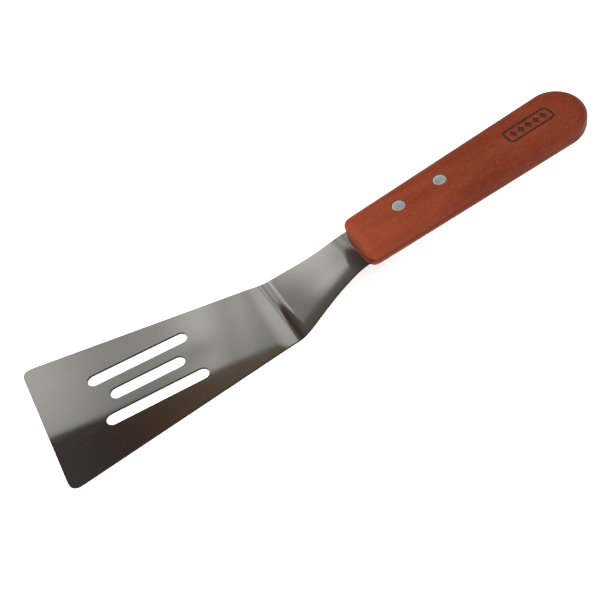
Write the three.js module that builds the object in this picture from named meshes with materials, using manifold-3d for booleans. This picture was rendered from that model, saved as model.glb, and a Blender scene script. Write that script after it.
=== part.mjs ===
// A grill spatula: a slotted stainless blade, made with its neck and tang from one bent sheet,
// in a slit wooden handle that two compression rivets hold. Strips of wood filler close the slit
// beside the tang.
// Millimetres. +X runs from the blade to the handle, +Z is up, and the blade lies on Z = 0.
import * as THREE from "three";
import { mergeVertices, toCreasedNormals } from "three/addons/utils/BufferGeometryUtils.js";
import Module from "manifold-3d";

const wasm = await Module();
wasm.setup();

const degrees = THREE.MathUtils.degToRad;

// The sheet that the blade, the neck and the tang are made of.
const SHEET_THICKNESS = 1.0;
const BLADE_LENGTH = 115.3;
const FRONT_WIDTH = 69.7;
const CREASE_WIDTH = 38.4;
const FRONT_CORNER = 5;
const CREASE_ANGLE = degrees(23.4);
const CREASE_RADIUS = 16;
const NECK_LENGTH = 38.8;
const HEEL_RADIUS = 34;
const HEEL_LENGTH = 4.4;

// The neck's flare: where it starts, short of the crease, and how far along the neck the side
// keeps the blade's taper and the tang's width, as shares of the flare's length.
const FLARE_START = 3;
const TAPER_SHARE = 0.27;
const WAIST_SHARE = 0.47;

// The tang, which lies in the handle.
const TANG_LENGTH = 57;
const TANG_WIDTH = 23;
const TANG_CORNER = 4;

// The drain slots: two long ones with a shorter one between them.
const SLOT_WIDTH = 6;
const SLOT_SPACING = 11.8;
const SLOT_CENTRE = 47.3;
const OUTER_SLOT_LENGTH = 47.6;
const MIDDLE_SLOT_LENGTH = 35.1;

// The handle. Its edge is rounded over less at the front end than at the rear.
const HANDLE_PITCH = degrees(9.5);
const HANDLE_LENGTH = 126.8;
const HANDLE_THICKNESS = 16;
const HANDLE_FRONT_WIDTH = 25.4;
const HANDLE_REAR_WIDTH = 29.8;
const HANDLE_CORNER = 5;
const FRONT_ROUNDOVER = 4;
const SIDE_ROUNDOVER = 6;
const REAR_ROUNDOVER = 7;
const ROUNDOVER_STEPS = 8;
const KERF_LENGTH = 59;
const KERF_DROP = 1.7;

// The compression rivets, each a headed tube and a headed pin.
const RIVET_PLACES = { front: 24.5, rear: 47 };
const RIVET_HEAD_DIAMETER = 6.4;
const RIVET_TUBE_DIAMETER = 4.4;
const RIVET_PIN_DIAMETER = 2.6;
const RIVET_PIN_LENGTH = 9;
const RIVET_SEAT = 0.9;
const RIVET_DOME = 0.3;
const RIVET_CROWN_SHARE = 0.92;
const RIVET_SIDES = 40;

// Clearances between pieces.
const SHEET_CLEARANCE = 0.15;
const RIVET_CLEARANCE = 0.12;
const FILLER_CLEARANCE = 0.1;
const RIVET_HOLE_DIAMETER = RIVET_TUBE_DIAMETER + 2 * RIVET_CLEARANCE;
const RIVET_SEAT_DIAMETER = RIVET_HEAD_DIAMETER + 2 * RIVET_CLEARANCE;

const CURVE_STEPS = 16;
const BEND_STEP = degrees(3);
const CREASED_EDGE = degrees(30);

// Where the bends and the handle's front end lie, on the sheet's mid-plane.
const crease = new THREE.Vector2(BLADE_LENGTH, SHEET_THICKNESS / 2);
const heel = along(crease, CREASE_ANGLE, NECK_LENGTH);
const handleFront = along(heel, HANDLE_PITCH, HEEL_LENGTH);
const tangEnd = along(handleFront, HANDLE_PITCH, TANG_LENGTH);

const steel = new THREE.MeshStandardMaterial({ color: 0xa3a39d, metalness: 1, roughness: 0.32 });
const wood = new THREE.MeshStandardMaterial({ color: 0x914630, metalness: 0, roughness: 0.5 });
const filler = new THREE.MeshStandardMaterial({ color: 0x7c3a28, metalness: 0, roughness: 0.6 });
const aluminium = new THREE.MeshStandardMaterial({ color: 0xb3b8b6, metalness: 1, roughness: 0.4 });

// The point that lies `distance` from `start` at a pitch angle.
function along(start, pitch, distance) {
  return new THREE.Vector2(
    start.x + distance * Math.cos(pitch),
    start.y + distance * Math.sin(pitch),
  );
}

// A closed geometry as a solid, and a solid as a geometry that is drawn with crisp edges.
function solidOf(geometry) {
  const plain = geometry.clone();
  plain.deleteAttribute("normal");
  plain.deleteAttribute("uv");
  const merged = mergeVertices(plain, 1e-4);
  return new wasm.Manifold(
    new wasm.Mesh({
      numProp: 3,
      vertProperties: merged.attributes.position.array,
      triVerts: new Uint32Array(merged.index.array),
    }),
  );
}

function geometryOf(solid) {
  const { vertProperties, triVerts } = solid.getMesh();
  const geometry = new THREE.BufferGeometry();
  geometry.setAttribute("position", new THREE.BufferAttribute(vertProperties, 3));
  geometry.setIndex(new THREE.BufferAttribute(triVerts, 1));
  return toCreasedNormals(geometry, CREASED_EDGE);
}

// A shape that is symmetric about the X axis, from the path of its +Y half.
function mirrored(halfPath) {
  const half = halfPath.getPoints(CURVE_STEPS);
  const other = half
    .slice(1, -1)
    .reverse()
    .map((point) => new THREE.Vector2(point.x, -point.y));
  return new THREE.Shape([...half, ...other]);
}

// A shape drawn in XY, raised from one height to another.
function raised(shape, bottom, top) {
  const geometry = new THREE.ExtrudeGeometry(shape, {
    depth: top - bottom,
    bevelEnabled: false,
    curveSegments: CURVE_STEPS,
  });
  return geometry.translate(0, 0, bottom);
}

function cylinder(diameter, bottom, top) {
  const geometry = new THREE.CylinderGeometry(diameter / 2, diameter / 2, top - bottom, RIVET_SIDES);
  return geometry.rotateX(Math.PI / 2).translate(0, 0, (bottom + top) / 2);
}

function turned(profile) {
  const geometry = new THREE.LatheGeometry(profile, RIVET_SIDES);
  return geometry.rotateX(Math.PI / 2);
}

// The sheet's mid-plane seen from the side: stations with a place and a pitch.
function sheetStations() {
  const creaseTangent = CREASE_RADIUS * Math.tan(CREASE_ANGLE / 2);
  const heelTurn = HANDLE_PITCH - CREASE_ANGLE;
  const heelTangent = HEEL_RADIUS * Math.tan(Math.abs(heelTurn) / 2);
  const stations = [{ place: new THREE.Vector2(0, crease.y), pitch: 0 }];

  function straight(length) {
    const { place, pitch } = stations.at(-1);
    stations.push({ place: along(place, pitch, length), pitch });
  }

  function bend(radius, turn) {
    const steps = Math.ceil(Math.abs(turn) / BEND_STEP);
    const step = turn / steps;
    const chord = 2 * radius * Math.sin(Math.abs(step) / 2);
    for (let i = 0; i < steps; i++) {
      const { place, pitch } = stations.at(-1);
      stations.push({ place: along(place, pitch + step / 2, chord), pitch: pitch + step });
    }
  }

  straight(BLADE_LENGTH - creaseTangent);
  bend(CREASE_RADIUS, CREASE_ANGLE);
  straight(NECK_LENGTH - creaseTangent - heelTangent);
  bend(HEEL_RADIUS, heelTurn);
  straight(HEEL_LENGTH - heelTangent + TANG_LENGTH + SHEET_THICKNESS);
  return stations;
}

// The bent sheet at the full width of the blank.
function bentSheet() {
  const side = (offset) =>
    sheetStations().map(({ place, pitch }) => along(place, pitch + Math.PI / 2, offset));
  const outline = [...side(-SHEET_THICKNESS / 2), ...side(SHEET_THICKNESS / 2).reverse()];
  const geometry = new THREE.ExtrudeGeometry(new THREE.Shape(outline), {
    depth: FRONT_WIDTH,
    bevelEnabled: false,
  });
  return solidOf(geometry.rotateX(Math.PI / 2).translate(0, FRONT_WIDTH / 2, 0));
}

// The blank's outline seen from above: blade, flared neck and tang.
function blankOutline() {
  const taper = (FRONT_WIDTH - CREASE_WIDTH) / 2 / BLADE_LENGTH;
  const bladeSide = (x) => FRONT_WIDTH / 2 - taper * x;
  const flareStart = BLADE_LENGTH - FLARE_START;
  const flareRun = handleFront.x - flareStart;
  const taperEnd = flareStart + flareRun * TAPER_SHARE;
  const half = new THREE.Path();
  half.moveTo(0, 0);
  half.lineTo(0, FRONT_WIDTH / 2 - FRONT_CORNER);
  half.quadraticCurveTo(0, FRONT_WIDTH / 2, FRONT_CORNER, bladeSide(FRONT_CORNER));
  half.lineTo(flareStart, bladeSide(flareStart));
  half.bezierCurveTo(
    taperEnd,
    bladeSide(taperEnd),
    handleFront.x - flareRun * WAIST_SHARE,
    TANG_WIDTH / 2,
    handleFront.x,
    TANG_WIDTH / 2,
  );
  half.lineTo(tangEnd.x - TANG_CORNER, TANG_WIDTH / 2);
  half.quadraticCurveTo(tangEnd.x, TANG_WIDTH / 2, tangEnd.x, TANG_WIDTH / 2 - TANG_CORNER);
  half.lineTo(tangEnd.x, 0);
  return mirrored(half);
}

function slotShape(length, y) {
  const radius = SLOT_WIDTH / 2;
  const reach = length / 2 - radius;
  const shape = new THREE.Shape();
  shape.absarc(SLOT_CENTRE + reach, y, radius, -Math.PI / 2, Math.PI / 2, false);
  shape.absarc(SLOT_CENTRE - reach, y, radius, Math.PI / 2, Math.PI * 1.5, false);
  return shape;
}

// The frame of the handle: its origin is the front end, halfway up, a little above the tang.
function handleFrame() {
  const origin = along(handleFront, HANDLE_PITCH + Math.PI / 2, KERF_DROP);
  const frame = new THREE.Group();
  frame.position.set(origin.x, 0, origin.y);
  frame.rotation.y = -HANDLE_PITCH;
  frame.updateMatrix();
  return frame;
}

function bladeGeometry() {
  const blank = raised(blankOutline(), -SHEET_THICKNESS, HANDLE_LENGTH);
  let solid = bentSheet().intersect(solidOf(blank));
  const slots = [
    slotShape(OUTER_SLOT_LENGTH, -SLOT_SPACING),
    slotShape(MIDDLE_SLOT_LENGTH, 0),
    slotShape(OUTER_SLOT_LENGTH, SLOT_SPACING),
  ];
  for (const slot of slots) {
    solid = solid.subtract(solidOf(raised(slot, -SHEET_THICKNESS, 2 * SHEET_THICKNESS)));
  }
  for (const x of Object.values(RIVET_PLACES)) {
    const hole = cylinder(RIVET_HOLE_DIAMETER, -HANDLE_THICKNESS / 2, HANDLE_THICKNESS / 2);
    solid = solid.subtract(solidOf(hole.translate(x, 0, 0).applyMatrix4(handleFrame().matrix)));
  }
  return geometryOf(solid);
}

// The handle seen from above: flat front end, widening sides, round rear end.
function handleOutline() {
  const rearCentre = HANDLE_LENGTH - HANDLE_REAR_WIDTH / 2;
  const half = new THREE.Path();
  half.moveTo(0, 0);
  half.absarc(
    HANDLE_CORNER,
    HANDLE_FRONT_WIDTH / 2 - HANDLE_CORNER,
    HANDLE_CORNER,
    Math.PI,
    Math.PI / 2,
    true,
  );
  half.absarc(rearCentre, 0, HANDLE_REAR_WIDTH / 2, Math.PI / 2, 0, true);
  return mirrored(half).getPoints();
}

// How far the edge is rounded over where the outline faces along `outward`.
function roundoverAt(outward) {
  const end = outward.x < 0 ? FRONT_ROUNDOVER : REAR_ROUNDOVER;
  return THREE.MathUtils.lerp(SIDE_ROUNDOVER, end, outward.x ** 2);
}

// The handle as rings of points from the underside to the top face: each ring is the outline,
// moved inwards and up or down along the round-over.
function handleRings() {
  const outline = handleOutline();
  const edge = outline.map((point, i) => {
    const tangent = outline[(i + 1) % outline.length].clone().sub(outline.at(i - 1));
    const outward = new THREE.Vector2(-tangent.y, tangent.x).normalize();
    return { point, outward, roundover: roundoverAt(outward) };
  });
  const ring = (side, turn) =>
    edge.map(({ point, outward, roundover }) => {
      const place = point.clone().addScaledVector(outward, roundover * (Math.cos(turn) - 1));
      const height = HANDLE_THICKNESS / 2 - roundover + roundover * Math.sin(turn);
      return new THREE.Vector3(place.x, place.y, side * height);
    });
  const turns = Array.from({ length: ROUNDOVER_STEPS + 1 }, (_, i) => {
    return (Math.PI / 2) * (i / ROUNDOVER_STEPS);
  });
  return [
    ...turns.toReversed().map((turn) => ring(-1, turn)),
    ...turns.map((turn) => ring(1, turn)),
  ];
}

// Joins rings of equal length into a closed skin, with a fan of triangles over each end.
function skinOf(rings) {
  const count = rings[0].length;
  const points = rings.flat();
  const triangles = [];
  for (let row = 0; row + 1 < rings.length; row++) {
    for (let i = 0; i < count; i++) {
      const here = row * count + i;
      const next = row * count + ((i + 1) % count);
      triangles.push(here, here + count, next, next, here + count, next + count);
    }
  }
  for (let i = 1; i + 1 < count; i++) {
    const last = points.length - count;
    triangles.push(0, i, i + 1);
    triangles.push(last, last + i + 1, last + i);
  }
  const geometry = new THREE.BufferGeometry().setFromPoints(points);
  geometry.setIndex(triangles);
  return geometry;
}

// The space of the kerf, less a clearance at its faces and at its end. It runs on past the front.
function kerfBox(clearance) {
  const box = new THREE.BoxGeometry(
    2 * (KERF_LENGTH - clearance),
    2 * HANDLE_REAR_WIDTH,
    SHEET_THICKNESS + 2 * (SHEET_CLEARANCE - clearance),
  );
  return box.translate(0, 0, -KERF_DROP);
}

function handleGeometry() {
  let solid = solidOf(skinOf(handleRings())).subtract(solidOf(kerfBox(0)));

  const face = HANDLE_THICKNESS / 2;
  for (const x of Object.values(RIVET_PLACES)) {
    const holes = [
      cylinder(RIVET_HOLE_DIAMETER, -face, face),
      cylinder(RIVET_SEAT_DIAMETER, face - RIVET_SEAT, face + RIVET_SEAT),
      cylinder(RIVET_SEAT_DIAMETER, -face - RIVET_SEAT, -face + RIVET_SEAT),
    ];
    for (const hole of holes) {
      solid = solid.subtract(solidOf(hole.translate(x, 0, 0)));
    }
  }
  return geometryOf(solid);
}

// The filler between the tang and one side of the handle. `side` is 1 on the left, -1 on the right.
function fillerGeometry(side) {
  const tangSide = TANG_WIDTH / 2 + SHEET_CLEARANCE;
  const strip = kerfBox(FILLER_CLEARANCE).translate(0, side * (tangSide + HANDLE_REAR_WIDTH), 0);
  return geometryOf(solidOf(skinOf(handleRings())).intersect(solidOf(strip)));
}

// A rivet head's profile, from the crown on the axis to the stem under the head.
// `up` is 1 on the handle's top face and -1 on its underside.
function headProfile(up, stemRadius) {
  const face = (up * HANDLE_THICKNESS) / 2;
  const seat = face - up * (RIVET_SEAT - RIVET_CLEARANCE);
  const headRadius = RIVET_HEAD_DIAMETER / 2;
  const crown = new THREE.QuadraticBezierCurve(
    new THREE.Vector2(0, face + up * RIVET_DOME),
    new THREE.Vector2(headRadius * RIVET_CROWN_SHARE, face + up * RIVET_DOME),
    new THREE.Vector2(headRadius, face - up * RIVET_DOME),
  );
  return [
    ...crown.getPoints(CURVE_STEPS / 2),
    new THREE.Vector2(headRadius, seat),
    new THREE.Vector2(stemRadius, seat),
  ];
}

// The headed tube, which goes in from the underside.
function rivetPostGeometry() {
  const tubeRadius = RIVET_TUBE_DIAMETER / 2;
  const boreRadius = RIVET_PIN_DIAMETER / 2 + RIVET_CLEARANCE;
  const rim = HANDLE_THICKNESS / 2 - RIVET_SEAT - RIVET_CLEARANCE;
  const boreFloor = rim - RIVET_PIN_LENGTH - RIVET_CLEARANCE;
  return turned([
    ...headProfile(-1, tubeRadius),
    new THREE.Vector2(tubeRadius, rim),
    new THREE.Vector2(boreRadius, rim),
    new THREE.Vector2(boreRadius, boreFloor),
    new THREE.Vector2(0, boreFloor),
  ]);
}

// The headed pin, which is pressed into the tube from above.
function rivetCapGeometry() {
  const pinRadius = RIVET_PIN_DIAMETER / 2;
  const tip = HANDLE_THICKNESS / 2 - RIVET_SEAT - RIVET_CLEARANCE - RIVET_PIN_LENGTH;
  const profile = [
    ...headProfile(1, pinRadius),
    new THREE.Vector2(pinRadius, tip),
    new THREE.Vector2(0, tip),
  ];
  return turned(profile.reverse());
}

function named(name, geometry, material, x = 0) {
  const mesh = new THREE.Mesh(geometry, material);
  mesh.name = name;
  mesh.position.x = x;
  return mesh;
}

const grip = handleFrame();
grip.add(named("handle", handleGeometry(), wood));
grip.add(named("left_slit_filler", fillerGeometry(1), filler));
grip.add(named("right_slit_filler", fillerGeometry(-1), filler));
for (const [place, x] of Object.entries(RIVET_PLACES)) {
  grip.add(named(`${place}_rivet_post`, rivetPostGeometry(), aluminium, x));
  grip.add(named(`${place}_rivet_cap`, rivetCapGeometry(), aluminium, x));
}

const spatula = new THREE.Group();
spatula.add(named("blade", bladeGeometry(), steel));
spatula.add(grip);

// The origin is under the middle of the whole spatula.
const middle = new THREE.Box3().setFromObject(spatula, true).getCenter(new THREE.Vector3());
spatula.position.x = -middle.x;

export default spatula;
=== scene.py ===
import math

import bmesh
import bpy
import numpy as np
from mathutils import Matrix, Vector


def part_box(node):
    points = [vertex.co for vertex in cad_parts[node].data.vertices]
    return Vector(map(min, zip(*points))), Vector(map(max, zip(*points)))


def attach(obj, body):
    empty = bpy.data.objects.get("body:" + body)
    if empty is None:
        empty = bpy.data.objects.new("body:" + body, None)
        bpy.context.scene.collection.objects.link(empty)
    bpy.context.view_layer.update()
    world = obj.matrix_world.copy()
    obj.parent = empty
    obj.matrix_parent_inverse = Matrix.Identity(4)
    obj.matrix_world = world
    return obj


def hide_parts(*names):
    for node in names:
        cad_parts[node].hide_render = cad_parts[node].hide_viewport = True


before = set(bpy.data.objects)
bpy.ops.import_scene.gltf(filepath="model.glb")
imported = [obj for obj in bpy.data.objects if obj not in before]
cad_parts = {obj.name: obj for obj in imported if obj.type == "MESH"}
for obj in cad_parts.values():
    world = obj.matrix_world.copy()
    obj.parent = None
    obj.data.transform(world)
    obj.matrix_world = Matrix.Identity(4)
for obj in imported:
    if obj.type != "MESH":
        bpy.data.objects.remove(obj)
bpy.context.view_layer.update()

# The object's lengths are in millimetres until a mesh is placed. The camera, the lights, the floor
# and the scales of the textures are in metres. Angles are in radians.
MM = 0.001

# The sheet that the blade, the neck and the tang are made of.
SHEET_THICKNESS = 1.0
SHEET_EDGE_ROUND = 0.13
BLADE_LENGTH = 115.3
FRONT_WIDTH = 69.7
CREASE_WIDTH = 38.4
FRONT_CORNER = 5.0
CREASE_ANGLE = math.radians(23.4)
CREASE_RADIUS = 16.0
DIP_ANGLE = math.radians(-1.8)
DIP_TURN_LENGTH = 5.0
DIP_LENGTH = 3.5
NECK_LENGTH = 38.8
HEEL_RADIUS = 34.0
HEEL_LENGTH = 4.4
FLARE_START = 3.0
TAPER_SHARE = 0.27
WAIST_SHARE = 0.47
TANG_LENGTH = 57.0
TANG_WIDTH = 23.0
TANG_CORNER = 4.0
SLOT_WIDTH = 6.0
SLOT_SPACING = 11.8
SLOT_CENTRE = 47.3
OUTER_SLOT_LENGTH = 47.6
MIDDLE_SLOT_LENGTH = 35.1

# The handle.
HANDLE_PITCH = math.radians(9.5)
HANDLE_LENGTH = 126.8
HANDLE_THICKNESS = 16.0
HANDLE_FRONT_WIDTH = 25.4
HANDLE_REAR_WIDTH = 29.8
HANDLE_CORNER = 5.0
FRONT_ROUNDOVER = 4.0
SIDE_ROUNDOVER = 6.0
REAR_ROUNDOVER = 7.0
KERF_LENGTH = 59.0
KERF_DROP = 1.7
SHEET_CLEARANCE = 0.15

# The filler that closes the slit beside the tang.
FILLER_CLEARANCE = 0.1

# The rivets.
RIVET_PLACES = {"front": 24.5, "rear": 47.0}
RIVET_HEAD_DIAMETER = 6.4
RIVET_TUBE_DIAMETER = 4.4
RIVET_PIN_DIAMETER = 2.6
RIVET_PIN_LENGTH = 9.0
RIVET_SEAT = 0.9
RIVET_DOME = 0.3
RIVET_CROWN_SHARE = 0.92
RIVET_CLEARANCE = 0.12

# The burned-in mark: a plain rounded frame round a row of diamonds, near the handle's rear end.
MARK_CENTRE = (96.5, -0.9)
MARK_SIZE = (25.6, 8.9)
MARK_CORNER = 2.4
MARK_LINE = 1.15
MARK_DEPTH = 0.3
MARK_DIAMONDS = 5
DIAMOND_SPACING = 4.2
DIAMOND_SIZE = (3.2, 4.9)

# How finely the curves are divided, and how far apart the points along straight sides are.
ARC_SAMPLES = 6001
EDGE_STEPS = 3
FRONT_CORNER_STEPS = 20
FLARE_STEPS = 60
TANG_CORNER_STEPS = 12
SLOT_END_STEPS = 24
RIVET_HOLE_STEPS = 40
SHEET_SPACING = 4.0
HANDLE_CORNER_STEPS = 14
HANDLE_REAR_STEPS = 40
HANDLE_FRONT_SPACING = 2.5
HANDLE_SIDE_SPACING = 3.0
ROUNDOVER_STEPS = 14
MARK_CORNER_STEPS = 8
CROWN_STEPS = 16
RIVET_SIDES = 72

# Edges sharper than this are drawn crisp.
SHARP_EDGE = math.radians(32)

# How many times the sheet is divided along each of its bends, and how widely elsewhere.
DIP_TURN_STATIONS = 7
DIP_STATIONS = 4
CREASE_STATIONS = 25
HEEL_STATIONS = 13
NECK_STATION_SPACING = 6
STATION_SPACING = 8
CROSS_STATIONS = np.arange(-30, 31, 6)

# How far the cutting solids of the kerf and the rivet holes run past the handle.
KERF_OVERRUN = 5.0
HOLE_OVERRUN = 1.0

# Slack for telling which cut a face of the handle belongs to: in its depth and beside it.
TOLERANCE = 1e-3
SIDE_TOLERANCE = 0.2

# Material slots: the sheet's sheared edges, and the handle's sawn and burnt faces.
EDGE_SLOT = 1
SAWN_SLOT = 1
BURNT_SLOT = 2

# The camera. Its lens is in millimetres.
CAMERA_TARGET = (-0.01617, 0.00133, 0.0)
CAMERA_DISTANCE = 0.3766
CAMERA_AZIMUTH = math.radians(67.24)
CAMERA_ELEVATION = math.radians(48.10)
CAMERA_ROLL = math.radians(9.16)
CAMERA_LENS = 49.31


# ---- The sheet's bends ----

def traced(knots, pitches):
    """A bent line through knots along it, as arc length, x, z and pitch in close steps."""
    arc = np.union1d(np.linspace(0, knots[-1], ARC_SAMPLES), knots)
    pitch = np.interp(arc, knots, pitches)
    middle = (pitch[1:] + pitch[:-1]) / 2
    step = np.diff(arc)
    x = np.concatenate([[0], np.cumsum(step * np.cos(middle))])
    z = np.concatenate([[0], np.cumsum(step * np.sin(middle))])
    return arc, x, z, pitch


def sheet_table():
    """The sheet's mid-plane: its knots, and its arc length, x, z and pitch in close steps. The
    blade dips slightly just before the crease, the heel is a plain bend, and the mid-plane runs on
    a little past the tang's end."""
    crease = [DIP_TURN_LENGTH, DIP_LENGTH, CREASE_RADIUS * (CREASE_ANGLE - DIP_ANGLE)]
    crease_pitches = [0, DIP_ANGLE, DIP_ANGLE, CREASE_ANGLE]
    _, x, z, _ = traced(np.cumsum([0] + crease), crease_pitches)
    before = x[-1] - z[-1] / math.tan(CREASE_ANGLE)
    after = z[-1] / math.sin(CREASE_ANGLE)
    heel_turn = CREASE_ANGLE - HANDLE_PITCH
    heel_tangent = HEEL_RADIUS * math.tan(heel_turn / 2)
    neck = NECK_LENGTH - after - heel_tangent
    tang = HEEL_LENGTH - heel_tangent + TANG_LENGTH + SHEET_THICKNESS
    knots = np.cumsum([0, BLADE_LENGTH - before, *crease, neck, HEEL_RADIUS * heel_turn, tang])
    arc, x, z, pitch = traced(knots, [0, *crease_pitches, CREASE_ANGLE, HANDLE_PITCH, HANDLE_PITCH])
    return knots, arc, x, z + SHEET_THICKNESS / 2, pitch


# The dip's turn lies between knots 1 and 2, the dip ends at 3 and the crease at 4, the heel lies
# between 5 and 6, and 7 is the end.
KNOTS, ARC, SHEET_X, SHEET_Z, SHEET_PITCH = sheet_table()
HANDLE_ARC = KNOTS[6] + HEEL_LENGTH - HEEL_RADIUS * math.tan((CREASE_ANGLE - HANDLE_PITCH) / 2)


def sheet_at(arc):
    """Place (x, z) on the mid-plane and the pitch there, for an array of arc lengths."""
    return tuple(np.interp(arc, ARC, values) for values in (SHEET_X, SHEET_Z, SHEET_PITCH))


def sheet_matrix():
    """From the sheet's own frame in millimetres to the object's frame in metres."""
    front_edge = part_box("blade")[0].x
    return Matrix.Translation((front_edge, 0, 0)) @ Matrix.Scale(MM, 4)


def handle_matrix():
    """From the handle's own frame in millimetres to the object's frame in metres."""
    x, z, _ = (float(v) for v in sheet_at(HANDLE_ARC))
    origin = Vector((x - KERF_DROP * math.sin(HANDLE_PITCH), 0, z + KERF_DROP * math.cos(HANDLE_PITCH)))
    return sheet_matrix() @ Matrix.Translation(origin) @ Matrix.Rotation(-HANDLE_PITCH, 4, "Y")


# ---- Outlines ----

def bezier(points, steps):
    """Points along the Bezier curve that has these control points."""
    share = np.linspace(0, 1, steps + 1)[:, None]
    level = [np.array(p, float) for p in points]
    while len(level) > 1:
        level = [a * (1 - share) + b * share for a, b in zip(level, level[1:])]
    return level[0]


def arc_points(centre, radius, start, end, steps):
    """Points along an arc, from one angle to another."""
    turn = np.linspace(start, end, steps + 1)
    return np.stack([centre[0] + radius * np.cos(turn), centre[1] + radius * np.sin(turn)], axis=1)


def line_points(start, end, spacing):
    """Evenly spaced points along a straight side, without its two ends."""
    start, end = np.array(start, float), np.array(end, float)
    steps = max(1, round(float(np.linalg.norm(end - start)) / spacing))
    share = np.linspace(0, 1, steps + 1)[1:-1, None]
    return start * (1 - share) + end * share


def blank_outline():
    """The sheet's outline, clockwise, as arc length along the sheet and place across it."""
    taper = (FRONT_WIDTH - CREASE_WIDTH) / 2 / BLADE_LENGTH
    half_tang = TANG_WIDTH / 2
    handle_x = float(sheet_at(HANDLE_ARC)[0])
    tang_end = handle_x + TANG_LENGTH * math.cos(HANDLE_PITCH)
    flare_start = BLADE_LENGTH - FLARE_START
    flare_run = handle_x - flare_start

    def blade_side(x):
        return x, FRONT_WIDTH / 2 - taper * x

    front_corner = [
        (0, FRONT_WIDTH / 2 - FRONT_CORNER),
        (0, FRONT_WIDTH / 2),
        blade_side(FRONT_CORNER),
    ]
    flare = [
        blade_side(flare_start),
        blade_side(flare_start + flare_run * TAPER_SHARE),
        (handle_x - flare_run * WAIST_SHARE, half_tang),
        (handle_x, half_tang),
    ]
    tang_corner = [
        (tang_end - TANG_CORNER, half_tang),
        (tang_end, half_tang),
        (tang_end, half_tang - TANG_CORNER),
    ]
    half = np.concatenate([
        [(0, 0)],
        line_points((0, 0), front_corner[0], SHEET_SPACING),
        bezier(front_corner, FRONT_CORNER_STEPS),
        line_points(front_corner[-1], flare[0], SHEET_SPACING),
        bezier(flare, FLARE_STEPS),
        line_points(flare[-1], tang_corner[0], SHEET_SPACING),
        bezier(tang_corner, TANG_CORNER_STEPS),
        [(tang_end, 0)],
    ])
    half[:, 0] = np.interp(half[:, 0], SHEET_X, ARC)
    return np.concatenate([half, half[-2:0:-1] * (1, -1)])


def slot_outline(length, y):
    """A slot with round ends, anticlockwise."""
    radius = SLOT_WIDTH / 2
    reach = length / 2 - radius
    rear = arc_points((SLOT_CENTRE + reach, y), radius, -math.pi / 2, math.pi / 2, SLOT_END_STEPS)
    front = arc_points((SLOT_CENTRE - reach, y), radius, math.pi / 2, math.pi * 1.5, SLOT_END_STEPS)
    return np.concatenate([
        rear, line_points(rear[-1], front[0], SHEET_SPACING),
        front, line_points(front[-1], rear[0], SHEET_SPACING),
    ])


def circle_outline(x, diameter):
    """A circle on the middle line, anticlockwise."""
    return arc_points((x, 0), diameter / 2, 0, 2 * math.pi, RIVET_HOLE_STEPS)[:-1]


def outward_normals(outline, material_inside):
    """Unit normals of a closed outline that point away from the material."""
    tangent = np.roll(outline, -1, axis=0) - np.roll(outline, 1, axis=0)
    normal = np.stack([tangent[:, 1], -tangent[:, 0]], axis=1)
    normal /= np.linalg.norm(normal, axis=1)[:, None]
    following = np.roll(outline, -1, axis=0)
    area = np.sum(outline[:, 0] * following[:, 1] - outline[:, 1] * following[:, 0])
    return normal if (area > 0) == material_inside else -normal


# ---- Mesh building ----

def edge_profile():
    """The sheet's edge from bottom to top, as (inset, height, normal's height)."""
    straight = SHEET_THICKNESS / 2 - SHEET_EDGE_ROUND
    turns = [math.pi / 2 * i / EDGE_STEPS for i in range(EDGE_STEPS + 1)]
    upper = [
        (SHEET_EDGE_ROUND * (1 - math.cos(t)), straight + SHEET_EDGE_ROUND * math.sin(t), math.sin(t))
        for t in turns
    ]
    lower = [(inset, -height, -lift) for inset, height, lift in reversed(upper)]
    return lower + upper


def mesh_from(bm, name):
    """A mesh with its faces pointing out, from a bmesh that is used up."""
    bmesh.ops.recalc_face_normals(bm, faces=bm.faces)
    mesh = bpy.data.meshes.new(name)
    bm.to_mesh(mesh)
    bm.free()
    return mesh


def add_wall(bm, low, high):
    """The faces between two rings of as many vertices each."""
    faces = []
    for i in range(len(low)):
        j = (i + 1) % len(low)
        faces.append(bm.faces.new((low[i], low[j], high[j], high[i])))
    return faces


def add_edge_rings(bm, stored, outline, outward):
    """The rings up a plate's rounded edge, with the exact normal stored on each vertex."""
    rings = []
    for inset, height, lift in edge_profile():
        place = outline - outward * inset
        level = math.sqrt(max(0.0, 1 - lift * lift))
        ring = []
        for (x, y), (normal_x, normal_y) in zip(place, outward):
            vert = bm.verts.new((x, y, height))
            vert[stored] = (normal_x * level, normal_y * level, lift)
            ring.append(vert)
        rings.append(ring)
    return rings


def divide(bm, axis, places):
    """Divides the faces where they cross the places along an axis."""
    normal = [0, 0, 0]
    normal[axis] = 1
    for place in places:
        point = [0, 0, 0]
        point[axis] = place
        everything = bm.verts[:] + bm.edges[:] + bm.faces[:]
        bmesh.ops.bisect_plane(bm, geom=everything, dist=1e-4, plane_co=point, plane_no=normal)


def plate_mesh(outline, holes, stations):
    """A flat plate with rounded edges, divided at the stations, with its exact normals stored on
    the vertices."""
    bm = bmesh.new()
    stored = bm.verts.layers.float_vector.new("exact_normal")
    rims = {-1: [], 1: []}
    for loop, is_outer in [(outline, True)] + [(hole, False) for hole in holes]:
        rings = add_edge_rings(bm, stored, loop, outward_normals(loop, is_outer))
        for low, high in zip(rings, rings[1:]):
            for face in add_wall(bm, low, high):
                face.material_index = EDGE_SLOT
        for side, ring in ((-1, rings[0]), (1, rings[-1])):
            rims[side] += [bm.edges.get(ends) for ends in zip(ring, ring[1:] + ring[:1])]
    for side, rim in rims.items():
        bmesh.ops.triangle_fill(bm, edges=rim, use_beauty=True, normal=(0, 0, side))
    for axis, places in stations:
        divide(bm, axis, places)
    return mesh_from(bm, "plate")


def vertex_array(mesh, attribute="position"):
    """A vector attribute of a mesh's vertices, one row for each."""
    values = np.zeros(len(mesh.vertices) * 3, np.float32)
    mesh.attributes[attribute].data.foreach_get("vector", values)
    return values.reshape(-1, 3).astype(float)


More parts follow.
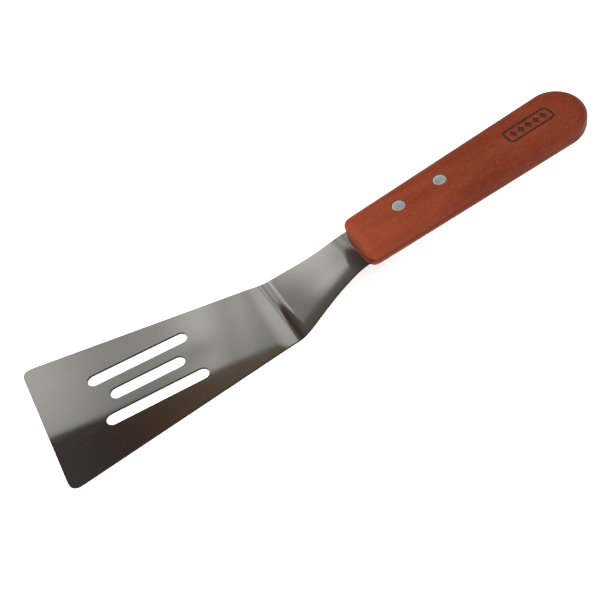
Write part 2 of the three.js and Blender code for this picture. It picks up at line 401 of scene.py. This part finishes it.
def bend_plate(mesh):
    """Bends the flat plate along the sheet's mid-plane and gives it its exact normals."""
    flat = vertex_array(mesh)
    normal = vertex_array(mesh, "exact_normal")
    normal /= np.linalg.norm(normal, axis=1)[:, None]
    x, z, pitch = sheet_at(flat[:, 0])
    cosine, sine = np.cos(pitch), np.sin(pitch)
    bent = np.stack([x - flat[:, 2] * sine, flat[:, 1], z + flat[:, 2] * cosine], axis=1)
    turned = np.stack([
        normal[:, 0] * cosine - normal[:, 2] * sine,
        normal[:, 1],
        normal[:, 0] * sine + normal[:, 2] * cosine,
    ], axis=1)
    mesh.vertices.foreach_set("co", bent.astype(np.float32).ravel())
    mesh.attributes.remove(mesh.attributes["exact_normal"])
    mesh.shade_smooth()
    mesh.normals_split_custom_set_from_vertices([tuple(n) for n in turned])
    mesh.update()


def skin_mesh(name, rings):
    """A closed skin through rings of points, with an n-gon over each end."""
    bm = bmesh.new()
    made = [[bm.verts.new(point) for point in ring] for ring in rings]
    for low, high in zip(made, made[1:]):
        add_wall(bm, low, high)
    bm.faces.new(made[0][::-1])
    bm.faces.new(made[-1])
    return mesh_from(bm, name)


def turned_mesh(name, profile):
    """A solid of revolution about Z, from a profile that starts and ends on the axis."""
    turns = [2 * math.pi * i / RIVET_SIDES for i in range(RIVET_SIDES)]
    bm = bmesh.new()
    rings = []
    for radius, height in profile:
        around = turns if radius > 0 else turns[:1]
        rings.append([bm.verts.new((radius * math.cos(t), radius * math.sin(t), height)) for t in around])
    for low, high in zip(rings, rings[1:]):
        for i in range(RIVET_SIDES):
            j = (i + 1) % RIVET_SIDES
            corners = [low[i % len(low)], low[j % len(low)], high[j % len(high)], high[i % len(high)]]
            bm.faces.new(list(dict.fromkeys(corners)))
    return mesh_from(bm, name)


def linked(name, data):
    """A new object in the scene for a mesh, a light or a camera."""
    made = bpy.data.objects.new(name, data)
    bpy.context.scene.collection.objects.link(made)
    return made


def add_piece(name, mesh, matrix, materials):
    """A new object for a mesh that is moved to its place and given its materials."""
    mesh.transform(matrix)
    for material in materials:
        mesh.materials.append(material)
    return linked(name, mesh)


def stands_for(piece, node):
    """Puts a piece in the place of a CAD node: hangs it under the root body and hides the node."""
    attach(piece, "root")
    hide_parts(node)


def shade(mesh):
    """Shades a mesh smooth, except across its sharp edges."""
    mesh.shade_smooth()
    mesh.set_sharp_from_angle(angle=SHARP_EDGE)


def applied(piece):
    """The piece with its modifiers made permanent."""
    depsgraph = bpy.context.evaluated_depsgraph_get()
    result = bpy.data.meshes.new_from_object(piece.evaluated_get(depsgraph))
    old = piece.data
    piece.modifiers.clear()
    piece.data = result
    bpy.data.meshes.remove(old)
    return piece


# ---- Blade ----

def bend_stations():
    """Where the plate is divided along its length: closely in the bends, and widely elsewhere."""
    return np.sort(np.concatenate([
        np.arange(8, KNOTS[1] - 4, STATION_SPACING),
        np.linspace(KNOTS[1], KNOTS[2], DIP_TURN_STATIONS),
        np.linspace(KNOTS[2], KNOTS[3], DIP_STATIONS)[1:-1],
        np.linspace(KNOTS[3], KNOTS[4], CREASE_STATIONS),
        np.arange(KNOTS[4] + 4, KNOTS[5] - 3, NECK_STATION_SPACING),
        np.linspace(KNOTS[5], KNOTS[6], HEEL_STATIONS),
        np.arange(KNOTS[6] + 6, KNOTS[7] - 3, STATION_SPACING),
    ]))


def make_blade(steel, cut_steel):
    """The blade, the neck and the tang, with the slots and the rivet holes."""
    holes = [
        slot_outline(OUTER_SLOT_LENGTH, -SLOT_SPACING),
        slot_outline(MIDDLE_SLOT_LENGTH, 0),
        slot_outline(OUTER_SLOT_LENGTH, SLOT_SPACING),
    ]
    hole_diameter = RIVET_TUBE_DIAMETER + 2 * RIVET_CLEARANCE
    holes += [circle_outline(HANDLE_ARC + x, hole_diameter) for x in RIVET_PLACES.values()]
    stations = [(0, bend_stations()), (1, CROSS_STATIONS)]
    mesh = plate_mesh(blank_outline(), holes, stations)
    bend_plate(mesh)
    blade = add_piece("blade_sheet", mesh, sheet_matrix(), [steel, cut_steel])
    stands_for(blade, "blade")


# ---- Handle ----

def handle_outline():
    """The handle seen from above, anticlockwise, with close points round the corners."""
    rear_radius = HANDLE_REAR_WIDTH / 2
    rear_centre = HANDLE_LENGTH - rear_radius
    corner = (HANDLE_CORNER, HANDLE_FRONT_WIDTH / 2 - HANDLE_CORNER)
    front = arc_points(corner, HANDLE_CORNER, math.pi, math.pi / 2, HANDLE_CORNER_STEPS)
    rear = arc_points((rear_centre, 0), rear_radius, math.pi / 2, 0, HANDLE_REAR_STEPS)
    half = np.concatenate([
        [(0, 0)],
        line_points((0, 0), front[0], HANDLE_FRONT_SPACING),
        front,
        line_points(front[-1], rear[0], HANDLE_SIDE_SPACING),
        rear,
    ])
    return np.concatenate([half, half[-2:0:-1] * (1, -1)])[::-1]


def handle_rings():
    """Rings from the underside to the top face, with a round-over that changes along the edge."""
    outline = handle_outline()
    outward = outward_normals(outline, True)
    end = np.where(outward[:, 0] < 0, FRONT_ROUNDOVER, REAR_ROUNDOVER)
    roundover = SIDE_ROUNDOVER + (end - SIDE_ROUNDOVER) * outward[:, 0] ** 2

    def ring(side, turn):
        place = outline + outward * (roundover * (math.cos(turn) - 1))[:, None]
        height = HANDLE_THICKNESS / 2 - roundover + roundover * math.sin(turn)
        return np.column_stack([place, side * height])

    turns = [math.pi / 2 * i / ROUNDOVER_STEPS for i in range(ROUNDOVER_STEPS + 1)]
    return [ring(-1, turn) for turn in reversed(turns)] + [ring(1, turn) for turn in turns]


def box_rings(low, high):
    """The two rings of a box between two corners."""
    corners = [(low[0], low[1]), (high[0], low[1]), (high[0], high[1]), (low[0], high[1])]
    return [[(x, y, z) for x, y in corners] for z in (low[2], high[2])]


def kerf_rings(across, clearance=0.0):
    """The rings of the kerf's space between two places across the handle, less a clearance at its
    faces and at its end. It runs on past the handle's front."""
    half = SHEET_THICKNESS / 2 + SHEET_CLEARANCE - clearance
    low = (-KERF_OVERRUN, across[0], -KERF_DROP - half)
    high = (KERF_LENGTH - clearance, across[1], -KERF_DROP + half)
    return box_rings(low, high)


def rounded_rectangle(size, corner):
    """A rounded rectangle about the mark's centre, anticlockwise."""
    reach = (size[0] / 2 - corner, size[1] / 2 - corner)
    quarters = []
    for i, (sx, sy) in enumerate([(1, 1), (-1, 1), (-1, -1), (1, -1)]):
        centre = (MARK_CENTRE[0] + sx * reach[0], MARK_CENTRE[1] + sy * reach[1])
        start = math.pi / 2 * i
        quarters.append(arc_points(centre, corner, start, math.pi / 2 * (i + 1), MARK_CORNER_STEPS))
    return np.concatenate(quarters)


def diamond_outline(x, y):
    """A diamond about a point, anticlockwise."""
    half_x, half_y = DIAMOND_SIZE[0] / 2, DIAMOND_SIZE[1] / 2
    return [(x + half_x, y), (x, y + half_y), (x - half_x, y), (x, y - half_y)]


def add_frame(bm, outer, inner, bottom, top):
    """A closed upright frame between two outlines."""
    loops = [
        [bm.verts.new((x, y, z)) for x, y in outline]
        for outline, z in ((outer, bottom), (outer, top), (inner, top), (inner, bottom))
    ]
    for here, after in zip(loops, loops[1:] + loops[:1]):
        add_wall(bm, here, after)


def add_prism(bm, outline, bottom, top):
    """A closed upright prism."""
    low = [bm.verts.new((x, y, bottom)) for x, y in outline]
    high = [bm.verts.new((x, y, top)) for x, y in outline]
    bm.faces.new(low[::-1])
    bm.faces.new(high)
    add_wall(bm, low, high)


def mark_cutter():
    """The burned-in mark as a cutting solid: a frame and a row of diamonds."""
    bottom = HANDLE_THICKNESS / 2 - MARK_DEPTH
    top = HANDLE_THICKNESS / 2 + MARK_DEPTH
    outer = rounded_rectangle(MARK_SIZE, MARK_CORNER)
    inner = rounded_rectangle([side - 2 * MARK_LINE for side in MARK_SIZE], MARK_CORNER - MARK_LINE)
    bm = bmesh.new()
    add_frame(bm, outer, inner, bottom, top)
    for i in range(MARK_DIAMONDS):
        x = MARK_CENTRE[0] + (i - (MARK_DIAMONDS - 1) / 2) * DIAMOND_SPACING
        add_prism(bm, diamond_outline(x, MARK_CENTRE[1]), bottom, top)
    return mesh_from(bm, "mark_cutter")


def rivet_hole_cutter(x):
    """The stepped hole of one rivet: its shank hole with a seat for each head."""
    face = HANDLE_THICKNESS / 2
    hole = RIVET_TUBE_DIAMETER / 2 + RIVET_CLEARANCE
    seat = RIVET_HEAD_DIAMETER / 2 + RIVET_CLEARANCE
    step = face - RIVET_SEAT
    end = face + HOLE_OVERRUN
    profile = [
        (0, -end), (seat, -end), (seat, -step), (hole, -step),
        (hole, step), (seat, step), (seat, end), (0, end),
    ]
    mesh = turned_mesh("rivet_hole", profile)
    mesh.transform(Matrix.Translation((x, 0, 0)))
    return mesh


def cut(body, cutter_mesh, operation="DIFFERENCE"):
    """Takes a closed mesh away from a body for good, or keeps only what is inside it."""
    cutter = linked("cutter", cutter_mesh)
    modifier = body.modifiers.new("cut", "BOOLEAN")
    modifier.operation = operation
    modifier.solver = "EXACT"
    modifier.object = cutter
    applied(body)
    bpy.data.objects.remove(cutter)
    bpy.data.meshes.remove(cutter_mesh)


def is_in_kerf(face):
    """Whether a face is one of the kerf's two long faces or its end."""
    x, _, z = face.center
    along, _, up = face.normal
    half = SHEET_THICKNESS / 2 + SHEET_CLEARANCE + TOLERANCE
    is_inside = abs(z + KERF_DROP) <= half and x <= KERF_LENGTH + TOLERANCE
    is_end = abs(along) > 0.99 and x > 1
    return is_inside and (abs(up) > 0.99 or is_end)


def is_in_rivet_hole(face):
    """Whether a face is part of a stepped rivet hole."""
    x, y, z = face.center
    reach = RIVET_HEAD_DIAMETER / 2 + SIDE_TOLERANCE
    is_inside = abs(z) < HANDLE_THICKNESS / 2 - TOLERANCE
    return is_inside and any(math.hypot(x - place, y) < reach for place in RIVET_PLACES.values())


def is_in_mark(face):
    """Whether a face is a floor or a wall of the burned-in mark."""
    x, y, z = face.center
    top = HANDLE_THICKNESS / 2
    reach_x, reach_y = (side / 2 + SIDE_TOLERANCE for side in MARK_SIZE)
    is_near = abs(x - MARK_CENTRE[0]) < reach_x and abs(y - MARK_CENTRE[1]) < reach_y
    return is_near and top - MARK_DEPTH - TOLERANCE < z < top - TOLERANCE


def colour_cut_faces(mesh):
    """Gives the sawn faces and the mark's groove their own materials."""
    for face in mesh.polygons:
        if is_in_mark(face):
            face.material_index = BURNT_SLOT
        elif is_in_kerf(face) or is_in_rivet_hole(face):
            face.material_index = SAWN_SLOT


def make_handle(wood, sawn_wood, burnt_wood):
    """The wooden grip, with its kerf, its rivet holes and its mark."""
    body = linked("handle_body", skin_mesh("handle_body", handle_rings()))
    cut(body, skin_mesh("kerf", kerf_rings((-HANDLE_REAR_WIDTH, HANDLE_REAR_WIDTH))))
    for x in RIVET_PLACES.values():
        cut(body, rivet_hole_cutter(x))
    cut(body, mark_cutter())
    mesh = body.data
    colour_cut_faces(mesh)
    shade(mesh)
    mesh.transform(handle_matrix())
    for material in (wood, sawn_wood, burnt_wood):
        mesh.materials.append(material)
    weighted = body.modifiers.new("weighted_normals", "WEIGHTED_NORMAL")
    weighted.keep_sharp = True
    applied(body)
    stands_for(body, "handle")


def make_fillers(filler):
    """The two strips of filler, each the part of the handle's body that fills its space."""
    inner = TANG_WIDTH / 2 + SHEET_CLEARANCE
    for name, side in (("left", 1), ("right", -1)):
        across = sorted((side * inner, side * HANDLE_REAR_WIDTH))
        strip = skin_mesh("strip", kerf_rings(across, FILLER_CLEARANCE))
        body = linked(f"{name}_filler_strip", skin_mesh("filler_strip", handle_rings()))
        cut(body, strip, "INTERSECT")
        shade(body.data)
        body.data.transform(handle_matrix())
        body.data.materials.append(filler)
        stands_for(body, f"{name}_slit_filler")


# ---- Rivets ----

def head_profile(up, stem_radius):
    """A rivet head's profile from its crown to the stem under it. `up` is 1 on the top face."""
    face = up * HANDLE_THICKNESS / 2
    seat = face - up * (RIVET_SEAT - RIVET_CLEARANCE)
    radius = RIVET_HEAD_DIAMETER / 2
    crown = bezier([
        (0, face + up * RIVET_DOME),
        (radius * RIVET_CROWN_SHARE, face + up * RIVET_DOME),
        (radius, face - up * RIVET_DOME),
    ], CROWN_STEPS)
    return [tuple(point) for point in crown] + [(radius, seat), (stem_radius, seat)]


def make_rivets(aluminium):
    """Each rivet's headed tube, from below, and its headed pin, pressed in from above."""
    tube = RIVET_TUBE_DIAMETER / 2
    pin = RIVET_PIN_DIAMETER / 2
    bore = pin + RIVET_CLEARANCE
    rim = HANDLE_THICKNESS / 2 - RIVET_SEAT - RIVET_CLEARANCE
    bore_floor = rim - RIVET_PIN_LENGTH - RIVET_CLEARANCE
    post = head_profile(-1, tube) + [(tube, rim), (bore, rim), (bore, bore_floor), (0, bore_floor)]
    cap = head_profile(1, pin) + [(pin, rim - RIVET_PIN_LENGTH), (0, rim - RIVET_PIN_LENGTH)]
    for place, x in RIVET_PLACES.items():
        matrix = handle_matrix() @ Matrix.Translation((x, 0, 0))
        for part, profile in (("post", post), ("cap", cap)):
            node = f"{place}_rivet_{part}"
            mesh = turned_mesh(node, profile)
            shade(mesh)
            stands_for(add_piece(f"{node}_metal", mesh, matrix, [aluminium]), node)


# ---- Materials ----

def as_colour(value):
    """A socket as it is, or three numbers as an opaque colour."""
    return value if isinstance(value, bpy.types.NodeSocket) else (*value, 1)


class Nodes:
    """Short names for building a node tree."""

    def __init__(self, tree):
        self.tree = tree

    def fill(self, node, inputs):
        """Links or sets a node's inputs, by name or by number."""
        for name, value in inputs.items():
            if isinstance(value, bpy.types.NodeSocket):
                self.tree.links.new(value, node.inputs[name])
            else:
                node.inputs[name].default_value = value

    def add(self, kind, inputs=None, **settings):
        node = self.tree.nodes.new("ShaderNode" + kind)
        for name, value in settings.items():
            setattr(node, name, value)
        self.fill(node, inputs or {})
        return node

    def math(self, operation, *values):
        return self.add("Math", dict(enumerate(values)), operation=operation).outputs[0]

    def coordinates(self, scale, pitch=0.0):
        """Object coordinates, turned to lie along a pitched piece and then scaled."""
        place = self.add("TexCoord").outputs["Object"]
        turned = self.add("Mapping", {"Vector": place, "Rotation": (0, pitch, 0)}).outputs[0]
        return self.add("Mapping", {"Vector": turned, "Scale": scale}).outputs[0]

    def noise(self, vector, detail=4.0, roughness=0.55, distortion=0.0):
        inputs = {"Vector": vector, "Scale": 1.0}
        inputs |= {"Detail": detail, "Roughness": roughness, "Distortion": distortion}
        return self.add("TexNoise", inputs).outputs["Fac"]

    def ramp(self, factor, stops, interpolation="LINEAR"):
        """A colour ramp. Each stop is (position, colour)."""
        node = self.add("ValToRGB", {"Fac": factor})
        node.color_ramp.interpolation = interpolation
        elements = node.color_ramp.elements
        while len(elements) < len(stops):
            elements.new(0.5)
        for element, (position, colour) in zip(elements, stops):
            element.position = position
            element.color = (*colour, 1)
        return node.outputs["Color"]

    def remap(self, value, low, high, to_low, to_high, smooth=False):
        return self.add("MapRange", {
            "Value": value, "From Min": low, "From Max": high, "To Min": to_low, "To Max": to_high,
        }, interpolation_type="SMOOTHSTEP" if smooth else "LINEAR").outputs["Result"]

    def mix(self, factor, a, b):
        """A blend of two colours. Inputs 6 and 7 and output 2 are the node's colour sockets."""
        node = self.add("Mix", {0: factor, 6: as_colour(a), 7: as_colour(b)}, data_type="RGBA")
        return node.outputs[2]

    def bump(self, height, strength, distance, normal=None):
        inputs = {"Height": height, "Strength": strength, "Distance": distance}
        if normal is not None:
            inputs["Normal"] = normal
        return self.add("Bump", inputs).outputs["Normal"]


def new_material(name):
    """A material with an empty tree and a Principled shader."""
    material = bpy.data.materials.new(name)
    material.use_nodes = True
    material.node_tree.nodes.clear()
    nodes = Nodes(material.node_tree)
    shader = nodes.add("BsdfPrincipled")
    nodes.add("OutputMaterial", {"Surface": shader.outputs[0]})
    return material, nodes, shader


def steel_material():
    """Polished stainless sheet with a fine grain along its length and faint unevenness."""
    material, nodes, shader = new_material("stainless_sheet")
    grain = nodes.noise(nodes.coordinates((60, 4200, 4200)), detail=3)
    clouds = nodes.noise(nodes.coordinates((45, 70, 45)), detail=3)
    waves = nodes.noise(nodes.coordinates((14, 22, 14)), detail=1)
    fine_roughness = nodes.remap(grain, 0.3, 0.7, 0.022, 0.045)
    broad_roughness = nodes.remap(clouds, 0.3, 0.7, 0.0, 0.015)
    colour = nodes.mix(
        nodes.remap(grain, 0.3, 0.7, 0.0, 1.0), (0.60, 0.595, 0.57), (0.66, 0.655, 0.63),
    )
    normal = nodes.bump(waves, 0.06, 0.0006)
    normal = nodes.bump(grain, 0.006, 0.00004, normal)
    nodes.fill(shader, {
        "Base Color": colour,
        "Metallic": 1.0,
        "Roughness": nodes.math("ADD", fine_roughness, broad_roughness),
        "Normal": normal,
    })
    return material


def cut_steel_material():
    """The sheet's sheared edges, coloured nearly black and rougher than its faces."""
    material, nodes, shader = new_material("sheared_edge")
    streaks = nodes.noise(nodes.coordinates((2600, 2600, 300)), detail=3)
    colour = nodes.ramp(streaks, [(0.3, (0.008, 0.007, 0.006)), (0.7, (0.022, 0.020, 0.018))])
    nodes.fill(shader, {
        "Base Color": colour,
        "Metallic": 0.6,
        "Specular IOR Level": 0.1,
        "Roughness": nodes.remap(streaks, 0.3, 0.7, 0.45, 0.65),
        "Normal": nodes.bump(streaks, 0.3, 0.00005),
    })
    return material


def wood_tone_and_painted_shade(nodes):
    """The wood's colour, with a painted shade that darkens it towards the rear end, and its flecks and
    pores for the bump.
    """
    along = nodes.add("SeparateXYZ", {"Vector": nodes.coordinates((1, 1, 1), HANDLE_PITCH)}).outputs["X"]
    drift = nodes.noise(nodes.coordinates((22, 60, 60), HANDLE_PITCH), detail=3)
    streaks = nodes.noise(nodes.coordinates((30, 260, 260), HANDLE_PITCH), detail=5, distortion=0.6)
    flecks = nodes.noise(nodes.coordinates((750, 1300, 1300), HANDLE_PITCH), detail=4, roughness=0.65)
    pores = nodes.noise(nodes.coordinates((420, 2800, 2800), HANDLE_PITCH), detail=2, roughness=0.4)
    # Painted shade: the colour darkens from the front towards the rear end, where less light falls on the
    # handle. The drift added to it is the wood's own uneven tone.
    painted_rear_shade = nodes.remap(along, 0.015, 0.075, 0.0, 0.85)
    unevenness = nodes.remap(drift, 0.3, 0.7, -0.35, 0.35)
    share = nodes.math("MAXIMUM", nodes.math("ADD", painted_rear_shade, unevenness), 0.0)
    share = nodes.math("MINIMUM", share, 1.0)
    colour = nodes.mix(share, (0.160, 0.0315, 0.0135), (0.094, 0.0165, 0.0074))
    colour = nodes.mix(nodes.remap(streaks, 0.45, 0.70, 0.0, 0.35), colour, (0.078, 0.0095, 0.0045))
    colour = nodes.mix(nodes.remap(flecks, 0.48, 0.75, 0.0, 0.60), colour, (0.180, 0.0400, 0.0150))
    colour = nodes.mix(nodes.remap(flecks, 0.28, 0.44, 0.30, 0.0), colour, (0.074, 0.0095, 0.0045))
    pore = nodes.remap(pores, 0.60, 0.68, 0.0, 0.30)
    colour = nodes.mix(pore, colour, (0.045, 0.0080, 0.0045))
    return colour, flecks, pore


def wood_material():
    """Red hardwood, sealed and almost dull."""
    material, nodes, shader = new_material("handle_wood")
    colour, flecks, pore = wood_tone_and_painted_shade(nodes)
    height = nodes.math("SUBTRACT", flecks, pore)
    nodes.fill(shader, {
        "Base Color": colour,
        "Roughness": nodes.remap(flecks, 0.3, 0.7, 0.36, 0.46),
        "Specular IOR Level": 0.03,
        "Normal": nodes.bump(height, 0.12, 0.00012),
    })
    return material


def sawn_wood_material():
    """Bare wood inside the slit and the rivet holes."""
    material, nodes, shader = new_material("sawn_wood")
    marks = nodes.noise(nodes.coordinates((700, 260, 2600), HANDLE_PITCH), detail=4)
    colour = nodes.ramp(marks, [(0.3, (0.040, 0.009, 0.006)), (0.7, (0.090, 0.020, 0.011))])
    nodes.fill(shader, {
        "Base Color": colour,
        "Roughness": nodes.remap(marks, 0.3, 0.7, 0.7, 0.95),
        "Normal": nodes.bump(marks, 0.5, 0.0001),
    })
    return material


def filler_material():
    """Tinted wood filler, sanded flush with the handle."""
    material, nodes, shader = new_material("wood_filler")
    specks = nodes.noise(nodes.coordinates((1500, 2200, 2200), HANDLE_PITCH), detail=4)
    colour = nodes.ramp(specks, [(0.3, (0.092, 0.0135, 0.0055)), (0.7, (0.136, 0.0215, 0.0085))])
    nodes.fill(shader, {
        "Base Color": colour,
        "Roughness": nodes.remap(specks, 0.3, 0.7, 0.40, 0.55),
        "Specular IOR Level": 0.03,
        "Normal": nodes.bump(specks, 0.3, 0.00008),
    })
    return material


def burnt_wood_material():
    """Charred wood in the burned-in mark."""
    material, nodes, shader = new_material("burnt_wood")
    char = nodes.noise(nodes.coordinates((900, 1500, 1500), HANDLE_PITCH), detail=5)
    colour = nodes.ramp(char, [(0.3, (0.016, 0.005, 0.003)), (0.7, (0.050, 0.013, 0.008))])
    nodes.fill(shader, {
        "Base Color": colour,
        "Roughness": nodes.remap(char, 0.3, 0.7, 0.55, 0.85),
        "Normal": nodes.bump(char, 0.5, 0.0001),
    })
    return material


def aluminium_material():
    """Satin aluminium with light scuffs."""
    material, nodes, shader = new_material("rivet_metal")
    scuffs = nodes.noise(nodes.coordinates((1800, 1800, 1800)), detail=5)
    patches = nodes.noise(nodes.coordinates((420, 420, 420)), detail=2)
    colour = nodes.ramp(scuffs, [(0.3, (0.80, 0.825, 0.81)), (0.7, (0.92, 0.945, 0.93))])
    nodes.fill(shader, {
        "Base Color": colour,
        "Metallic": 1.0,
        "Roughness": nodes.remap(patches, 0.3, 0.7, 0.38, 0.52),
        "Normal": nodes.bump(scuffs, 0.15, 0.00003),
    })
    return material


def floor_material():
    """Plain white board that glows a little, so that it stays white under the handle."""
    material, nodes, shader = new_material("floor_board")
    mottle = nodes.noise(nodes.coordinates((9, 9, 9)), detail=2)
    colour = nodes.ramp(mottle, [(0.3, (0.90, 0.90, 0.90)), (0.7, (0.92, 0.92, 0.92))])
    nodes.fill(shader, {
        "Base Color": colour,
        "Roughness": 0.9,
        "Specular IOR Level": 0.1,
        "Emission Color": (1, 1, 1, 1),
        "Emission Strength": 0.30,
    })
    return material


# ---- Stage ----

# The tent that reflections see. Its walls stand square to an azimuth, and slopes are heights over
# the distance to the wall.
WALL_AZIMUTH = math.radians(84.3)
WALL_HEIGHT = 1.264
WALL_EDGE_SOFTNESS = 0.006
CEILING_LAMP = 3.4
LAMP_SOFTNESS = 1.5
LAMP_COLOUR = (0.75, 0.75, 0.74)

# The walls' fade upwards: from one slope to another, and the brightness at each.
WALL_FADE = (1.12, 1.26, 1.10, 0.84)
# How blue the walls are, as a share of their red and green.
WALL_BLUE = 0.965
# The brightness of the walls' soft panels, by degrees of azimuth from +X.
PANELS = [
    (0, 0.42), (40, 0.42), (60, 0.50), (66, 0.55), (69.5, 0.42), (71.7, 0.36), (73.8, 0.44),
    (75.2, 0.40), (78, 0.55), (82, 0.37), (89, 0.35), (95, 0.50), (100, 0.46), (104, 0.40),
    (110, 0.52), (116.6, 0.66), (119, 0.42), (121, 0.27), (124.5, 0.45), (129, 0.90), (145, 0.90),
    (170, 0.42), (190, 0.42),
]
# Darker and brighter spots on the walls: azimuth and slope, the reach of each, and the change.
WALL_SPOTS = [
    (79.0, 1.195, 2.0, 0.030, -0.32),
    (115.0, 1.225, 1.6, 0.035, -0.28),
    (118.9, 1.236, 1.6, 0.030, 0.42),
]
# The colour of the ceiling, by degrees of azimuth from +X.
CEILING = [
    (0, (0.30, 0.30, 0.29)), (40, (0.28, 0.27, 0.25)), (60, (0.135, 0.110, 0.085)),
    (76, (0.125, 0.095, 0.070)), (86, (0.075, 0.045, 0.032)), (95, (0.058, 0.048, 0.048)),
    (118, (0.115, 0.100, 0.087)), (134, (0.120, 0.105, 0.090)), (155, (0.28, 0.27, 0.26)),
    (190, (0.30, 0.30, 0.29)),
]
# The plain dome that everything else sees, from the horizon to straight up or down.
DOME = [(0.0, (0.50, 0.50, 0.50)), (1.0, (2.05, 2.05, 2.05))]

# Each light's place, the point it faces, its size, its power in watts and its colour.
LIGHTS = {
    "key": ((-0.60, -0.05, 0.75), (0, 0, 0), 0.60, 5.0, (1.0, 0.99, 0.97)),
    "front": ((-0.78, -0.34, 0.30), (0.03, 0, 0.02), 0.30, 4.0, (1.0, 0.98, 0.95)),
}

FLOOR_REACH = 6.0
FLOOR_TOP = -0.0003
FLOOR_BOTTOM = -0.02


def by_azimuth(nodes, degrees, stops):
    """A smooth ramp whose stops are set by azimuth."""
    low, high = stops[0][0], stops[-1][0]
    share = nodes.remap(degrees, low, high, 0.0, 1.0)
    return nodes.ramp(share, [((at - low) / (high - low), colour) for at, colour in stops], "CARDINAL")


def wall_spot(nodes, azimuth, slope, at_azimuth, at_slope, azimuth_reach, slope_reach, change):
    """One plus a round bump of brightness about a place on the wall."""
    across = nodes.math("DIVIDE", nodes.math("SUBTRACT", azimuth, at_azimuth), azimuth_reach)
    up = nodes.math("DIVIDE", nodes.math("SUBTRACT", slope, at_slope), slope_reach)
    squares = nodes.math("ADD", nodes.math("MULTIPLY", across, across), nodes.math("MULTIPLY", up, up))
    bump = nodes.math("EXPONENT", nodes.math("MULTIPLY", squares, -1.0))
    return nodes.math("MULTIPLY_ADD", bump, change, 1.0)


def tent_place(nodes):
    """Where a ray meets the tent: azimuth in degrees, slope, and how far up or down it points."""
    direction = nodes.add("TexCoord").outputs["Generated"]

    def level_part(azimuth):
        axis = (math.cos(azimuth), math.sin(azimuth), 0)
        dot = nodes.add("VectorMath", {0: direction, 1: axis}, operation="DOT_PRODUCT")
        return dot.outputs["Value"]

    towards = level_part(WALL_AZIMUTH)
    sideways = level_part(WALL_AZIMUTH + math.pi / 2)
    reach = nodes.math("MAXIMUM", nodes.math("ABSOLUTE", towards), nodes.math("ABSOLUTE", sideways))
    height = nodes.add("SeparateXYZ", {"Vector": direction}).outputs["Z"]
    slope = nodes.math("DIVIDE", height, reach)
    turn = nodes.math("DEGREES", nodes.math("ARCTAN2", sideways, towards))
    azimuth = nodes.math("ADD", turn, math.degrees(WALL_AZIMUTH))
    return azimuth, slope, nodes.math("ABSOLUTE", height)


def tent_wall(nodes, azimuth, slope):
    """The walls' colour: soft panels that fade upwards, with a few spots."""
    panels = by_azimuth(nodes, azimuth, [(at, (level, level, level * WALL_BLUE)) for at, level in PANELS])
    fade = nodes.remap(slope, *WALL_FADE)
    for spot in WALL_SPOTS:
        fade = nodes.math("MULTIPLY", fade, wall_spot(nodes, azimuth, slope, *spot))
    return nodes.add("VectorMath", {0: panels, "Scale": fade}, operation="SCALE").outputs["Vector"]


def tent_ceiling(nodes, azimuth, slope):
    """The ceiling's colour: dark, with a soft-edged lamp in its middle."""
    lamp = nodes.remap(slope, CEILING_LAMP, CEILING_LAMP + LAMP_SOFTNESS, 0.0, 1.0, smooth=True)
    return nodes.mix(lamp, by_azimuth(nodes, azimuth, CEILING), LAMP_COLOUR)


def make_world():
    """A light tent that only reflections see: pale walls under a dark ceiling with a lamp. All
    else sees a plain dome, which is brightest straight up and straight down."""
    world = bpy.data.worlds.new("studio")
    world.use_nodes = True
    bpy.context.scene.world = world
    world.cycles.sampling_method = "NONE"
    world.node_tree.nodes.clear()
    nodes = Nodes(world.node_tree)
    azimuth, slope, steepness = tent_place(nodes)
    low, high = WALL_HEIGHT - WALL_EDGE_SOFTNESS, WALL_HEIGHT + WALL_EDGE_SOFTNESS
    is_wall = nodes.remap(slope, low, high, 1.0, 0.0, smooth=True)
    tent = nodes.mix(is_wall, tent_ceiling(nodes, azimuth, slope), tent_wall(nodes, azimuth, slope))
    is_reflection = nodes.add("LightPath").outputs["Is Glossy Ray"]
    seen = nodes.mix(is_reflection, nodes.ramp(steepness, DOME), tent)
    background = nodes.add("Background", {"Color": seen, "Strength": 1.0})
    nodes.add("OutputWorld", {"Surface": background.outputs[0]})


def add_light(name, place, target, size, power, colour):
    """A soft round area light that isn't mirrored in the steel."""
    light = bpy.data.lights.new(name, "AREA")
    light.shape = "DISK"
    light.size = size
    light.energy = power
    light.color = colour
    lamp = linked(name, light)
    lamp.visible_glossy = False
    lamp.location = place
    lamp.rotation_euler = (Vector(target) - Vector(place)).to_track_quat("-Z", "Y").to_euler()


def make_floor():
    """A wide pale floor that the spatula lies on."""
    low = (-FLOOR_REACH, -FLOOR_REACH, FLOOR_BOTTOM)
    high = (FLOOR_REACH, FLOOR_REACH, FLOOR_TOP)
    mesh = skin_mesh("floor", box_rings(low, high))
    add_piece("floor", mesh, Matrix.Identity(4), [floor_material()])


def make_camera():
    """The camera, aimed at its target from its azimuth and elevation, and then rolled."""
    camera = bpy.data.cameras.new("camera")
    camera.lens = CAMERA_LENS
    camera.sensor_width = 36
    camera.clip_start = 0.01
    camera.clip_end = 50
    holder = linked("camera", camera)
    forward = Vector((
        math.cos(CAMERA_AZIMUTH) * math.cos(CAMERA_ELEVATION),
        math.sin(CAMERA_AZIMUTH) * math.cos(CAMERA_ELEVATION),
        -math.sin(CAMERA_ELEVATION),
    ))
    level = forward.to_track_quat("-Z", "Y").to_matrix().to_4x4()
    place = Vector(CAMERA_TARGET) - forward * CAMERA_DISTANCE
    holder.matrix_world = Matrix.Translation(place) @ level @ Matrix.Rotation(-CAMERA_ROLL, 4, "Z")
    bpy.context.scene.camera = holder


make_camera()
make_world()
make_floor()
for light_name, light_settings in LIGHTS.items():
    add_light(light_name, *light_settings)
bpy.context.scene.view_settings.view_transform = "Standard"

make_blade(steel_material(), cut_steel_material())
make_handle(wood_material(), sawn_wood_material(), burnt_wood_material())
make_fillers(filler_material())
make_rivets(aluminium_material())
